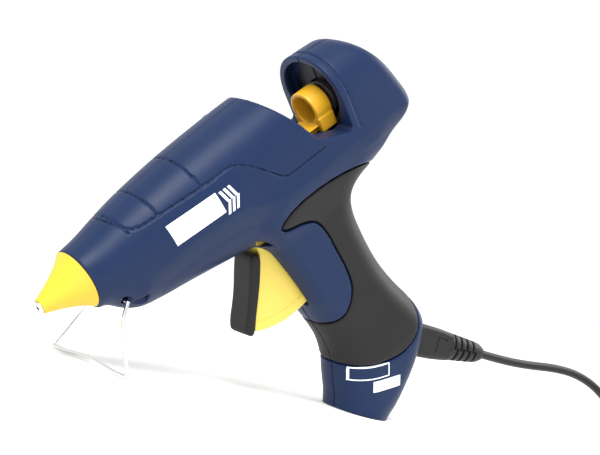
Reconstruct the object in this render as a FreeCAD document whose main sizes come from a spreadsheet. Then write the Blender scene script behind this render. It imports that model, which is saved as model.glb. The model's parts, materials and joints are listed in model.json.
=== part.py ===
import FreeCAD, Part
import math
import os
import Sketcher

# A corded glue gun for 12 mm sticks. Everything is drawn in the gun's own axes: x runs along the
# barrel from the nozzle (-x) to the rear, z is square to the barrel, y = 0 is the plane where the
# two housing halves meet, and the origin is the middle of the collar that takes the stick. One
# shared placement then stands the gun on its wire stand and on the foot of its handle.

doc = FreeCAD.newDocument("glue_gun")
Vector = FreeCAD.Vector

# ---------------------------------------------------------------- sizes (millimetres and degrees)
SIZES = {
    # barrel stations: place along the barrel, depth below the axis, half width
    "nose_x": -133.5, "nose_half": 13.8,
    "boss_x": -121.0, "boss_down": 24.0, "boss_half": 17.0,
    "chest_x": -100.0, "chest_down": 26.8, "chest_half": 20.0,
    "belly_x": -72.0, "belly_down": 30.5, "belly_half": 21.8,
    "waist_x": -42.0, "waist_down": 39.0, "waist_half": 22.5,
    "saddle_x": -10.0, "saddle_down": 40.0, "saddle_half": 22.3,
    "head_x": 15.0, "head_down": 36.0, "head_half": 21.4,
    "tail_x": 50.0, "tail_down": 31.0, "tail_half": 18.5,
    # half widths of the handle and of the keel under the barrel, narrower between the stand's legs
    "palm_half": 17.2, "keel_half": 17.0, "keel_nose_half": 13.2, "keel_step_x": -80.0,
    "wall": 3.0, "grip_thick": 1.6,
    # stand
    "stand_angle": 45.86, "foot_x": -145.6, "foot_z": -33.9, "foot_half_gap": 29.6,
    "wire_r": 0.9, "wire_pivot_x": -123.5, "wire_pivot_z": -15.5, "wire_clear": 0.15,
    "foot_front_x": -50.5, "foot_rear_x": -29.3,
    # stick path
    "bore_r": 6.5, "collar_r": 9.6, "collar_len": 9.0, "trough_front_x": -48.0,
    "stroke_angle": 26.0, "arm_len": 23.5, "lug_r": 2.4, "lug_drop": 6.0,
    "slide_clear": 0.3, "pin_clear": 0.05,
    # nozzle and melt chamber
    "tip_x": -154.6, "tip_r": 2.7, "tip_hole_r": 1.0, "cover_tip_x": -153.6, "cover_tip_r": 3.3,
    "cover_wall": 2.0, "cover_neck_r": 11.4, "cover_neck_len": 4.0,
    "chamber_front_x": -131.0, "chamber_rear_x": -82.0, "chamber_r": 9.0, "thread_r": 4.0,
    "ring_out_r": 12.0, "ring_len": 5.0, "rear_ring_out_r": 13.0,
    "spigot_len": 12.0, "spigot_r": 7.6, "sleeve_wall": 1.9, "sleeve_rear_x": -64.0,
    "heater_len": 31.0, "heater_wide": 15.0, "heater_high": 9.0, "plate_thick": 2.4,
    # trigger
    "pivot_x": -50.0, "pivot_z": -29.5, "trigger_r": 47.3, "trigger_half": 6.0,
    "pad_half": 7.4, "hub_r": 3.8, "hub_half": 13.2, "pin_r": 2.0, "arm_thick": 2.4,
    # rear guide
    "guide_front_x": 10.6, "guide_wall": 2.0, "head_face_x": 6.5, "head_recess": 5.5,
    # power inlet, connector and lead
    "inlet_height": 40.0, "inlet_face_in": 8.0, "socket_len": 20.0, "socket_high": 15.0,
    "socket_wide": 8.4, "connector_high": 16.4, "connector_wide": 9.6, "connector_len": 28.0,
    "relief_len": 26.0, "contact_r": 1.2, "contact_gap": 8.6, "cord_r": 2.2,
    # fasteners
    "screw_r": 1.5, "screw_head_r": 3.0, "boss_r": 3.7,
}

sheet = doc.addObject("Spreadsheet::Sheet", "sizes")
for row, (alias, amount) in enumerate(SIZES.items(), start=1):
    sheet.set("A%d" % row, alias)
    sheet.set("B%d" % row, str(amount))
    sheet.setAlias("B%d" % row, alias)
doc.recompute()


class Size:
    """A number that also carries the spreadsheet expression it came from."""

    def __init__(self, value, text):
        self.value = float(value)
        self.text = text

    def joined(self, other, sign, value, flip=False):
        word = other.text if isinstance(other, Size) else repr(float(other))
        pair = (word, self.text) if flip else (self.text, word)
        return Size(value, "(%s %s %s)" % (pair[0], sign, pair[1]))

    def __add__(self, other):
        return self.joined(other, "+", self.value + float(other))

    def __radd__(self, other):
        return self.joined(other, "+", float(other) + self.value, flip=True)

    def __sub__(self, other):
        return self.joined(other, "-", self.value - float(other))

    def __rsub__(self, other):
        return self.joined(other, "-", float(other) - self.value, flip=True)

    def __mul__(self, other):
        return self.joined(other, "*", self.value * float(other))

    def __rmul__(self, other):
        return self.joined(other, "*", float(other) * self.value, flip=True)

    def __truediv__(self, other):
        return self.joined(other, "/", self.value / float(other))

    def __neg__(self):
        return Size(-self.value, "(0 - %s)" % self.text)

    def __float__(self):
        return self.value


def size(alias):
    return Size(getattr(sheet, alias), "sizes.%s" % alias)


def number(alias):
    return float(getattr(sheet, alias))


parts = []          # every document object that becomes a file, in its final order


# ---------------------------------------------------------------- sketch and feature helpers
def origin_plane(body, role):
    return [item for item in body.Origin.OriginFeatures if item.Role == role][0]


def new_body(label):
    body = doc.addObject("PartDesign::Body", label)
    parts.append(body)
    return body


def new_sketch(body, name, role="XZ_Plane", lift=0.0):
    """A sketch on an origin plane; lift moves it along the plane's normal."""
    sketch = body.newObject("Sketcher::SketchObject", body.Name + "_" + name)
    sketch.AttachmentSupport = [(origin_plane(body, role), "")]
    sketch.MapMode = "FlatFace"
    if isinstance(lift, Size) or lift:
        sketch.AttachmentOffset.Base.z = float(lift)
        sketch.AttachmentOffset = FreeCAD.Placement(Vector(0, 0, float(lift)), FreeCAD.Rotation())
        if isinstance(lift, Size):
            sketch.setExpression(".AttachmentOffset.Base.z", lift.text)
    return sketch


def pin_point(sketch, geometry, end, point):
    """Holds one sketch point at (x, y), each a Size, a number or 0 for on the axis."""
    for kind, axis, value in (("DistanceX", -2, point[0]), ("DistanceY", -1, point[1])):
        if isinstance(value, (int, float)) and value == 0:
            sketch.addConstraint(Sketcher.Constraint("PointOnObject", geometry, end, axis))
            continue
        held = Sketcher.Constraint(kind, -1, 1, geometry, end, float(value))
        index = sketch.addConstraint(held)
        if isinstance(value, Size):
            sketch.setExpression("Constraints[%d]" % index, value.text)


def add_outline(sketch, points):
    """A closed outline of straight lines through the points."""
    first = sketch.GeometryCount
    count = len(points)
    spots = [Vector(float(p[0]), float(p[1]), 0) for p in points]
    for i in range(count):
        sketch.addGeometry(Part.LineSegment(spots[i], spots[(i + 1) % count]), False)
    for i in range(count):
        follower = first + (i + 1) % count
        sketch.addConstraint(Sketcher.Constraint("Coincident", first + i, 2, follower, 1))
    for i in range(count):
        pin_point(sketch, first + i, 1, points[i])


def add_circle(sketch, centre, radius):
    index = sketch.GeometryCount
    middle = Vector(float(centre[0]), float(centre[1]), 0)
    sketch.addGeometry(Part.Circle(middle, Vector(0, 0, 1), float(radius)), False)
    pin_point(sketch, index, 3, centre)
    held = sketch.addConstraint(Sketcher.Constraint("Radius", index, float(radius)))
    if isinstance(radius, Size):
        sketch.setExpression("Constraints[%d]" % held, radius.text)


def set_length(feature, name, value):
    setattr(feature, name, float(value))
    if isinstance(value, Size):
        feature.setExpression(name, value.text)


def pad(body, sketch, length, symmetric=True):
    feature = body.newObject("PartDesign::Pad", sketch.Name + "_pad")
    feature.Profile = sketch
    set_length(feature, "Length", length)
    feature.SideType = "Symmetric" if symmetric else "One side"
    doc.recompute()
    return feature


def pocket(body, sketch, length):
    """A symmetric pocket, which must take material away."""
    before = body.Shape.Volume
    feature = body.newObject("PartDesign::Pocket", sketch.Name + "_pocket")
    feature.Profile = sketch
    set_length(feature, "Length", length)
    feature.SideType = "Symmetric"
    doc.recompute()
    if not body.Shape.Volume < before:
        raise RuntimeError(sketch.Name + " cuts nothing")
    return feature


def turned(label, points):
    """A piece turned about the barrel axis from a half outline of (x, radius) points."""
    body = new_body(label)
    sketch = new_sketch(body, "profile")
    add_outline(sketch, points)
    feature = body.newObject("PartDesign::Revolution", label + "_turn")
    feature.Profile = sketch
    feature.ReferenceAxis = (sketch, ["H_Axis"])
    feature.Angle = 360
    doc.recompute()
    return body


def feature_part(label, shape):
    item = doc.addObject("Part::Feature", label)
    item.Shape = shape
    parts.append(item)
    return item


# ---------------------------------------------------------------- plain shape helpers
def cylinder_y(x, z, radius, low, high):
    return Part.makeCylinder(radius, high - low, Vector(x, low, z), Vector(0, 1, 0))


def cylinder_x(radius, low, high, z=0.0):
    return Part.makeCylinder(radius, high - low, Vector(low, 0, z), Vector(1, 0, 0))


def block(x, y, z):
    return Part.makeBox(x[1] - x[0], y[1] - y[0], z[1] - z[0], Vector(x[0], y[0], z[0]))


def prism(points, half):
    """A plate as wide as 2 * half, from (x, z) points; a point with four numbers is a rounded
    step: (middle x, middle z, end x, end z) of an arc."""
    spots = [Vector(p[-2], 0, p[-1]) for p in points]
    edges = []
    for i in range(1, len(points) + 1):
        start = spots[i - 1]
        this = points[i % len(points)]
        end = spots[i % len(points)]
        if len(this) == 4:
            edges.append(Part.Arc(start, Vector(this[0], 0, this[1]), end).toShape())
        elif (end - start).Length > 1e-6:
            edges.append(Part.LineSegment(start, end).toShape())
    face = Part.Face(Part.Wire(edges))
    face.translate(Vector(0, -half, 0))
    return face.extrude(Vector(0, 2 * half, 0))


def inset_prism(points, half, inset):
    """The same plate with every face moved in by inset."""
    solid = prism(points, half - inset)
    if not inset:
        return solid
    face = [f for f in solid.Faces if abs(f.normalAt(0, 0).y) > 0.99][0]
    small = face.makeOffset2D(-inset)
    small.translate(Vector(0, -(half - inset) - small.BoundBox.YMin, 0))
    return small.extrude(Vector(0, 2 * (half - inset), 0))


def oval(centre, side, up):
    """An ellipse about centre whose half axes are the vectors side and up."""
    circle = Part.Circle(Vector(0, 0, 0), Vector(0, 0, 1), 1.0).toShape()
    normal = side.cross(up).normalize()
    stretch = FreeCAD.Matrix(
        side.x, up.x, normal.x, centre.x,
        side.y, up.y, normal.y, centre.y,
        side.z, up.z, normal.z, centre.z,
        0, 0, 0, 1)
    return Part.Wire([circle.transformGeometry(stretch)])


# ---------------------------------------------------------------- the gun's outer form
angle = math.radians(number("stand_angle"))
pivot_x, pivot_z = number("pivot_x"), number("pivot_z")
half_stroke = math.radians(number("stroke_angle")) / 2


def floor_z(x):
    """Height of the table in the gun's own axes, under the foot of the wire stand."""
    return number("foot_z") - number("wire_r") / math.cos(angle) \
        - (x - number("foot_x")) * math.tan(angle)


STATIONS = ("nose", "boss", "chest", "belly", "waist", "saddle", "head", "tail")


def barrel_form(inset):
    """The barrel and head: a turned form, as wide at each station as the gun is there."""
    profile = [(number("nose_x"), 0.0)]
    for name in STATIONS:
        profile.append((number(name + "_x"), number(name + "_half") - inset))
    profile.append((number("tail_x"), 0.0))
    wire = Part.makePolygon([Vector(x, 0, r) for x, r in profile + profile[:1]])
    return Part.Face(wire).revolve(Vector(0, 0, 0), Vector(1, 0, 0), 360)


def keel_form(inset):
    """The deeper underside of the barrel, narrow in front where the stand's legs fold past it."""
    under = [(number(name + "_x"), -number(name + "_down")) for name in STATIONS[1:]]
    step = number("keel_step_x")
    nose = [(number("boss_x") - 7.0, -8.0)] + under[:3] + [(number("belly_x"), -8.0)]
    step_down = number("chest_down") + (number("belly_down") - number("chest_down")) \
        * (step - number("chest_x")) / (number("belly_x") - number("chest_x"))
    back = [(step, -8.0), (step, -step_down)] + under[2:] + [(number("tail_x"), -8.0)]
    return inset_prism(nose, number("keel_nose_half"), inset).fuse(
        inset_prism(back, number("keel_half"), inset))


def handle_form(inset):
    """The handle's plate, between the barrel and the table."""
    front, rear = number("foot_front_x"), number("foot_rear_x")
    outline = [
        (-52.0, -14.0), (-52.0, -42.0), (front, floor_z(front)), (rear, floor_z(rear)),
        (30.0, floor_z(30.0)), (12.0, -14.0)]
    return inset_prism(outline, number("palm_half"), inset)


def side_outline(inset):
    """The side view of the whole housing: table line, rear of the foot, back of the handle, rear
    of the head; in front and on top it stands clear of the barrel's own ovals."""
    nose = number("nose_x")
    front, rear = number("foot_front_x"), number("foot_rear_x")
    outline = [
        (front, floor_z(front)),
        (rear, floor_z(rear)),
        (-20.0, -153.4),
        (-8.0, -147.8, -3.0, -143.0),
        (10.2, -129.0),
        (13.4, -120.0, 11.5, -109.8),
        (1.4, -83.0, -1.2, -56.0),
        (1.0, -42.5, 12.0, -35.2),
        (38.0, -28.8),
        (47.2, -24.5, 48.4, -16.0),
        (43.5, 1.2),
        (37.0, 14.2),
        (33.0, 20.5, 26.0, 24.0),
        (20.0, 40.0),
        (nose, 40.0),
        (nose, -40.0),
        (-66.0, -40.0),
        (-57.0, -39.5),
        (-51.0, -42.5, -48.5, -47.5),
        (-44.0, -68.0),
        (-41.6, -90.0, -41.4, -106.0),
        (-41.9, -113.5, -44.7, -119.5),
    ]
    return inset_prism(outline, 40.0 + inset, inset)


def gun_form(inset):
    form = barrel_form(inset).fuse([keel_form(inset), handle_form(inset)])
    return form.common(side_outline(inset))


wall = number("wall")
outer = gun_form(0.0)
inner = gun_form(wall)

# ---------------------------------------------------------------- openings in the housing
nose_x = number("nose_x")
chamber_front = number("chamber_front_x")
chamber_rear = number("chamber_rear_x")
head_face = number("head_face_x")
guide_front = number("guide_front_x")
guide_r = number("bore_r") + number("guide_wall")
slide = number("slide_clear")
collar_r = number("collar_r")
trough_half = collar_r + slide


def scoop():
    """The saddle between barrel and head where the stick and its collar lie open."""
    across = prism([
        (-36.0, 45.0), (-31.0, 27.0), (-13.5, -2.5), (-12.0, -5.5, -9.0, -6.8),
        (3.0, -11.2), (5.5, -11.2, head_face, -9.0), (head_face, 45.0)], 40.0)
    well = block((-33.0, guide_front + 0.4), (-trough_half, trough_half), (-13.0, 6.0))
    return across.fuse(well)


def head_recess():
    """The hollow front face of the head, an oval pocket behind its rim."""
    depth = number("head_recess")
    ring = oval(Vector(head_face - 1, 0, 4.5), Vector(0, 17.5, 0), Vector(0, 0, 15.5))
    return Part.Face(ring).extrude(Vector(depth + 1, 0, 0))


def trigger_slot():
    half = number("hub_r") + 5.3
    top = block((-67.5, -40.0), (-half, half), (-52.0, -24.0))
    narrow = number("trigger_half") + 0.7
    reach = number("trigger_r") + 1.2
    lower = block((-66.0, -30.0), (-narrow, narrow), (pivot_z - reach, -45.0))
    return top.fuse(lower)


def wire_recess(side):
    """The fan-shaped hollow in the flank where the stand's leg swings."""
    low, high = sorted((side * 10.6, side * 30.0))
    x, z = number("wire_pivot_x"), number("wire_pivot_z")
    return cylinder_y(x, z, 9.5, low, high)


# The placement that stands the gun up: pitch it nose-down, set its foot on z = 0 and centre it
# between the tip of the nozzle and the rear of the foot.
pitch = FreeCAD.Rotation(Vector(0, 1, 0), -math.degrees(angle))
lowered = pitch.multVec(Vector(number("foot_x"), 0, floor_z(number("foot_x"))))
tip_place = pitch.multVec(Vector(number("cover_tip_x"), 0, number("cover_tip_r")))
pitched = outer.copy()
pitched.Placement = FreeCAD.Placement(Vector(0, 0, 0), pitch)
rear_place = max(spot.x for spot in pitched.tessellate(0.02)[0])
middle_x = (tip_place.x + rear_place) / 2
stand_placement = FreeCAD.Placement(Vector(-middle_x, 0, -lowered.z), pitch)
to_gun = stand_placement.inverse()


def in_gun_axes(shape):
    """A shape drawn in the standing axes (z up from the table), moved to the gun's own axes."""
    moved = shape.copy()
    moved.Placement = to_gun.multiply(shape.Placement)
    return moved


# ---------------------------------------------------------------- power inlet, in standing axes
inlet_z = number("inlet_height")
inlet_probe = Part.makeLine(Vector(0, 0, inlet_z), Vector(300, 0, inlet_z))
stood = outer.copy()
stood.Placement = stand_placement
inlet_skin_x = stood.common(inlet_probe).BoundBox.XMax
inlet_face_x = inlet_skin_x - number("inlet_face_in")
connector_high, connector_wide = number("connector_high"), number("connector_wide")


def round_bar(x, high, wide, radius):
    """A bar along x in the standing axes, at the inlet's height, its long edges rounded."""
    bar = block(x, (-wide / 2, wide / 2), (inlet_z - high / 2, inlet_z + high / 2))
    edges = [e for e in bar.Edges if abs(e.tangentAt(e.FirstParameter).x) > 0.99]
    return bar.makeFillet(radius, edges)


def inlet_pocket():
    gap = slide + 0.1
    return round_bar((inlet_face_x, inlet_skin_x + 20.0), connector_high + 2 * gap,
                     connector_wide + 2 * gap, 3.0)


# ---------------------------------------------------------------- the two housing halves
SCREWS = (
    (-77.0, -22.0), (-42.0, 18.2), (-18.0, -27.0), (-19.0, -79.5), (-34.0, -124.0), (29.0, -19.5),
)
RIBS = (
    # front, rear, radius of the hole that seats a ring or the rear guide
    (chamber_front, chamber_front + 3.0, number("ring_out_r") - 1.2),
    (chamber_front + 3.0 + number("ring_len"), chamber_front + 6.0 + number("ring_len"),
     number("chamber_r") + 2.4),
    (chamber_rear - number("ring_len") - 3.0, chamber_rear - number("ring_len"),
     number("chamber_r") + 2.4),
    (chamber_rear, chamber_rear + 3.0, number("chamber_r") + 2.0),
    (head_face + number("head_recess"), head_face + number("head_recess") + 3.0, guide_r + 0.1),
)


def screw_boss(x, z):
    return cylinder_y(x, z, number("boss_r"), -40, 40).common(outer)


def heater_bay():
    """Room under the melt chamber for its heater block and clip."""
    half = number("heater_wide") / 2 + 2.2
    low = -number("chamber_r") - number("heater_high") - 3.5
    return block((chamber_front + 2.0, chamber_rear + 4.0), (-half, half), (low, 0.0))


def rail(side):
    """The ledge in each half that the feed sled's flank slides along."""
    low, high = sorted((side * (trough_half + 0.1), side * 30.0))
    return block((-62.0, -34.0), (low, high), (2.4, 4.6)).common(inner)


def housing():
    shell = outer.cut(inner)
    for front, rear, hole in RIBS:
        slab = block((front, rear), (-40, 40), (-40, 40))
        shell = shell.fuse(slab.common(inner).cut(cylinder_x(hole, front - 1, rear + 1)))
    shell = shell.cut(heater_bay().common(inner))
    for x, z in SCREWS:
        shell = shell.fuse(screw_boss(x, z))
    hub_half = number("hub_half")
    for side in (-1, 1):
        low, high = sorted((side * (hub_half + slide), side * 40))
        shell = shell.fuse(cylinder_y(pivot_x, pivot_z, 5.5, low, high).common(outer))
        low, high = sorted((side * 4.2, side * 12.5))
        boss = cylinder_y(number("wire_pivot_x"), number("wire_pivot_z"), 3.4, low, high)
        shell = shell.fuse(boss.common(outer))
        shell = shell.fuse(rail(side))
    cheeks = cylinder_y(number("wire_pivot_x"), number("wire_pivot_z"), 11.5, -40, 40)
    cheeks = cheeks.common(outer).cut(block((-200, 0), (-8.2, 8.2), (-60, 60)))
    shell = shell.fuse(cheeks)
    tail_block = block((40.0, 60.0), (-12, 12), (-14, 12)).common(outer)
    shell = shell.fuse(tail_block)
    inlet_wall = round_bar((inlet_face_x - number("socket_len") - 2.0, inlet_skin_x + 5.0),
                           connector_high + 6.0, connector_wide + 6.0, 3.0)
    shell = shell.fuse(in_gun_axes(inlet_wall).common(outer))
    cuts = [scoop(), head_recess(), trigger_slot(), wire_recess(-1), wire_recess(1)]
    cuts.append(cylinder_x(number("cover_neck_r") + 0.1, nose_x - 1, chamber_front + 1.5))
    cuts.append(cylinder_x(number("ring_out_r") + 0.05, chamber_front + 3.0,
                           chamber_front + 3.0 + number("ring_len")))
    cuts.append(cylinder_x(number("rear_ring_out_r") + 0.05, chamber_rear - number("ring_len"),
                           chamber_rear))
    cuts.append(cylinder_x(guide_r + 0.05, guide_front, 60.0))
    cuts.append(cylinder_y(number("wire_pivot_x"), number("wire_pivot_z"),
                           number("wire_r") + number("wire_clear"), -30, 30))
    cuts.append(cylinder_y(pivot_x, pivot_z, number("pin_r") + number("pin_clear"), -15.6, 15.6))
    cuts.append(cylinder_y(pivot_x, pivot_z, 5.8, -10.4, 10.4))
    for x, z in SCREWS:
        cuts.append(cylinder_y(x, z, number("screw_r") + 0.05, -9.0, 14.0))
        cuts.append(cylinder_y(x, z, number("screw_head_r") + 0.3, 10.0, 40.0))
    cuts.append(in_gun_axes(inlet_pocket()))
    socket = round_bar((inlet_face_x - number("socket_len"), inlet_face_x + 1.0),
                       number("socket_high"), number("socket_wide"), 2.0)
    cuts.append(in_gun_axes(socket))
    lead_hole = round_bar((inlet_face_x - number("socket_len") - 4.0,
                           inlet_face_x - number("socket_len") + 1.0), 3.4, 8.0, 1.2)
    cuts.append(in_gun_axes(lead_hole))
    for cut in cuts:
        shell = shell.cut(cut)
    return shell


GRIP = (
    # the soft grip's edge on the flank: its upper edge from the rear to its point, round the
    # bare panel, and back along its lower edge
    (40.0, -48.0), (14.0, -35.5), (5.5, -29.5), (-7.0, -26.0), (-20.0, -24.0), (-32.0, -24.0),
    (-41.0, -25.8), (-45.8, -28.2), (-46.2, -30.0, -44.0, -31.4), (-36.0, -34.4),
    (-29.5, -36.6, -25.8, -41.5), (-24.2, -47.0), (-22.2, -74.0),
    (-23.4, -81.5, -29.5, -87.2), (-38.0, -90.6), (-60.0, -90.6), (-60.0, -108.0), (-49.5, -108.0),
    (-40.8, -113.6), (-30.0, -119.6), (-18.0, -124.4), (-8.0, -126.0, 2.0, -121.8),
    (9.0, -115.0), (40.0, -104.0),
)
NEAR, FAR = (-60.0, 0.0), (0.0, 60.0)


def half_of(shape, side):
    """The part of a shape on one side of the joint plane."""
    return shape.common(block((-200, 120), side, (-200, 80)))


grip_skin = prism(GRIP, 40.0).common(outer).cut(gun_form(number("grip_thick")))
grip_skin = grip_skin.cut(in_gun_axes(inlet_pocket()))
shell = housing().cut(grip_skin)
feature_part("left_housing", half_of(shell, NEAR))
feature_part("right_housing", half_of(shell, FAR))
feature_part("left_grip", half_of(grip_skin, NEAR))
feature_part("right_grip", half_of(grip_skin, FAR))

# ---------------------------------------------------------------- nozzle, cover and melt chamber
tip_x, tip_r, hole_r = size("tip_x"), size("tip_r"), size("tip_hole_r")
front, thread_r = size("chamber_front_x"), size("thread_r")
turned("nozzle", [
    (tip_x, hole_r), (tip_x, tip_r - 0.6), (tip_x + 0.8, tip_r), (tip_x + 6.5, tip_r),
    (tip_x + 14.0, tip_r + 2.4), (tip_x + 14.0, 7.0), (tip_x + 18.0, 7.0),
    (tip_x + 18.0, thread_r), (front + 7.0, thread_r), (front + 7.0, 2.4), (tip_x + 7.5, 2.4),
    (tip_x + 5.5, hole_r)])

cover_tip, cover_r = size("cover_tip_x"), size("cover_tip_r")
nose, neck_r = size("nose_x"), size("cover_neck_r")
neck_rear, cover_wall = nose + size("cover_neck_len"), size("cover_wall")
rim_r = size("nose_half") - 0.4
turned("nozzle_cover", [
    (cover_tip, tip_r + 0.1), (cover_tip, cover_r), (nose - 0.2, rim_r), (nose - 0.2, neck_r),
    (neck_rear, neck_r), (neck_rear, neck_r - cover_wall), (nose - 2.5, neck_r - cover_wall),
    (cover_tip + 3.1, tip_r + 0.1)])

rear, chamber_r, spigot_r = size("chamber_rear_x"), size("chamber_r"), size("spigot_r")
melt_r = size("bore_r") - 0.4
spigot_rear = rear + size("spigot_len")
chamber = turned("melt_chamber", [
    (front, thread_r), (front, chamber_r), (rear, chamber_r), (rear, spigot_r),
    (spigot_rear, spigot_r), (spigot_rear, melt_r), (front + 20.0, melt_r),
    (front + 9.0, 2.6), (front + 7.0, 2.6), (front + 7.0, thread_r)])
heater_len, heater_wide, heater_high = size("heater_len"), size("heater_wide"), size("heater_high")
block_front = front + 11.0
block_top = 1.0 - chamber_r
block_low = block_top - heater_high
sketch = new_sketch(chamber, "block")
add_outline(sketch, [
    (block_front, block_low), (block_front + heater_len, block_low),
    (block_front + heater_len, block_top), (block_front, block_top)])
pad(chamber, sketch, heater_wide)
plate_low = block_low + 3.0
plate_thick = size("plate_thick")
sketch = new_sketch(chamber, "slot")
add_outline(sketch, [
    (block_front + 2.0, plate_low), (block_front + heater_len - 2.0, plate_low),
    (block_front + heater_len - 2.0, plate_low + plate_thick + 0.2),
    (block_front + 2.0, plate_low + plate_thick + 0.2)])
pocket(chamber, sketch, heater_wide + 2.0)

heater = new_body("ptc_heater")
sketch = new_sketch(heater, "plate")
add_outline(sketch, [
    (block_front + 2.4, plate_low + 0.1), (block_front + heater_len - 2.4, plate_low + 0.1),
    (block_front + heater_len - 2.4, plate_low + 0.1 + plate_thick),
    (block_front + 2.4, plate_low + 0.1 + plate_thick)])
pad(heater, sketch, heater_wide - 1.0)

fuse_r = 1.4
fuse_z = float(block_low) - fuse_r - 0.1
clip_front = float(block_front) + 11.0
feature_part("thermal_fuse", cylinder_x(fuse_r, clip_front - 1.0, clip_front + 11.0, fuse_z))
clip_half = float(heater_wide) / 2
clip_low = fuse_z - fuse_r - 0.1
clip = block((clip_front, clip_front + 9.0), (-clip_half - 0.7, clip_half + 0.7),
             (clip_low - 0.6, float(block_low) + 6.5))
clip = clip.cut(block((clip_front - 1, clip_front + 10.0), (-clip_half - 0.1, clip_half + 0.1),
                      (clip_low, 0.0)))
feature_part("heater_clip", clip)

ring_len = size("ring_len")
turned("front_insulator", [
    (front + 3.0, chamber_r), (front + 3.0, size("ring_out_r")),
    (front + 3.0 + ring_len, size("ring_out_r")), (front + 3.0 + ring_len, chamber_r)])
turned("rear_insulator", [
    (rear - ring_len, chamber_r), (rear - ring_len, size("rear_ring_out_r")),
    (rear, size("rear_ring_out_r")), (rear, chamber_r)])
sleeve_r = spigot_r + size("sleeve_wall")
sleeve_rear = size("sleeve_rear_x")
turned("inlet_sleeve", [
    (rear + 1.5, spigot_r), (rear + 1.5, sleeve_r), (sleeve_rear, sleeve_r),
    (sleeve_rear, size("bore_r") + 1.2), (sleeve_rear - 4.0, size("bore_r")),
    (spigot_rear, size("bore_r")), (spigot_rear, spigot_r)])
turned("sleeve_clamp", [
    (rear + 4.0, sleeve_r), (rear + 4.0, sleeve_r + 1.0), (rear + 8.0, sleeve_r + 1.0),
    (rear + 8.0, sleeve_r)])

# ---------------------------------------------------------------- feed sled and its jaw
lug_z = -number("lug_drop")
lug_x = pivot_x + number("arm_len") * math.tan(half_stroke)
bore_r = number("bore_r")
trough_front = number("trough_front_x")
jaw_x, jaw_z = trough_front + 18.0, -collar_r - 3.0


def feed_sled():
    sled = cylinder_x(collar_r, 0.0, number("collar_len"))
    trough = cylinder_x(collar_r, trough_front, 1.0)
    trough = trough.common(block((-100, 20), (-20, 20), (-20, 1.0)))
    floor = block((trough_front, number("collar_len")), (-4.5, 4.5), (-collar_r - 0.8, -7.0))
    trough = trough.cut(block((-34.0, 0.0), (-20, 20), (-3.0, 2.0)))
    base = block((0.0, number("collar_len")), (-collar_r, collar_r), (-collar_r - 0.8, -1.0))
    sled = sled.fuse([trough, floor, base])
    for side in (-1, 1):
        low, high = sorted((side * 6.6, side * (number("hub_half") - 0.4)))
        sled = sled.fuse(cylinder_y(lug_x, lug_z, number("lug_r"), low, high))
        low, high = sorted((side * 8.8, side * 12.0))
        sled = sled.fuse(block((trough_front + 1.0, trough_front + 12.0), (low, high), (0.0, 2.0)))
        low, high = sorted((side * 2.2, side * 4.5))
        ear = cylinder_y(jaw_x, jaw_z, 2.6, low, high)
        ear = ear.fuse(block((jaw_x - 2.6, jaw_x + 2.6), (low, high), (jaw_z, -collar_r + 1.0)))
        sled = sled.fuse(ear)
    sled = sled.cut(cylinder_x(bore_r, trough_front - 1, number("collar_len") + 1))
    sled = sled.cut(block((jaw_x - 13.0, jaw_x + 4.0), (-2.0, 2.0), (-20.0, 0.0)))
    return sled.cut(cylinder_y(jaw_x, jaw_z, 1.05, -6, 6))


feature_part("feed_sled", feed_sled())
jaw = prism([
    (jaw_x + 2.3, jaw_z), (jaw_x + 1.6, jaw_z + 2.2), (jaw_x - 7.6, -bore_r - 2.4),
    (jaw_x - 7.6, -bore_r - 0.3), (jaw_x - 8.8, -bore_r - 1.3), (jaw_x - 10.0, -bore_r - 0.3),
    (jaw_x - 11.0, -bore_r - 3.0), (jaw_x - 2.0, jaw_z - 2.2), (jaw_x + 1.4, jaw_z - 2.0)], 1.6)
feature_part("stick_jaw", jaw.cut(cylinder_y(jaw_x, jaw_z, 1.05, -6, 6)))
feature_part("jaw_pin", cylinder_y(jaw_x, jaw_z, 1.0, -4.7, 4.7))

# ---------------------------------------------------------------- trigger
TRIGGER_PAD_REAR = ((18.0, 12.0), (22.0, 22.0), (25.0, 31.0), (27.9, 43.0))


def at(degrees, radius):
    """A point in the side view, seen from the trigger's pivot: 0 is straight down, + is forward."""
    turn = math.radians(degrees)
    return (pivot_x - radius * math.sin(turn), pivot_z - radius * math.cos(turn))


def trigger_body():
    reach = number("trigger_r")
    sector = [at(-62.0, 6.0), at(40.0, 6.0)]
    sector += [at(a, r) for a, r in TRIGGER_PAD_REAR]
    sector.append(at(28.3, reach))
    sector.append(at(2.0, reach) + at(-24.0, reach))
    body = prism(sector, number("trigger_half"))
    rim = prism([at(28.3, reach - 4.2), at(28.3, reach), at(2.0, reach) + at(-24.0, reach),
                 at(-24.0, reach - 4.2), at(2.0, reach - 4.2) + at(28.3, reach - 4.2)],
                number("trigger_half") + 0.5)
    hub_half = number("hub_half")
    body = body.fuse([rim, cylinder_y(pivot_x, pivot_z, number("hub_r"), -hub_half, hub_half)])
    lean = math.degrees(half_stroke)
    along = FreeCAD.Rotation(Vector(0, 1, 0), lean)
    slot = number("lug_r") + 0.15
    base = number("arm_len") - number("lug_r") - 0.5
    for side in (-1, 1):
        low = side * (hub_half - 0.4 - number("arm_thick") / 2)
        arm = prism([(-3.8, 0.0), (-4.8, base), (-4.8, base + 6.6), (-slot, base + 6.6),
                     (-slot, base), (slot, base), (slot, base + 6.6), (4.8, base + 6.6),
                     (4.8, base), (3.8, 0.0)], number("arm_thick") / 2)
        arm.translate(Vector(0, low, 0))
        arm.Placement = FreeCAD.Placement(Vector(pivot_x, 0, pivot_z), along).multiply(
            arm.Placement)
        body = body.fuse(arm)
    return body.cut(cylinder_y(pivot_x, pivot_z, number("pin_r") + number("pin_clear"), -20, 20))


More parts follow.
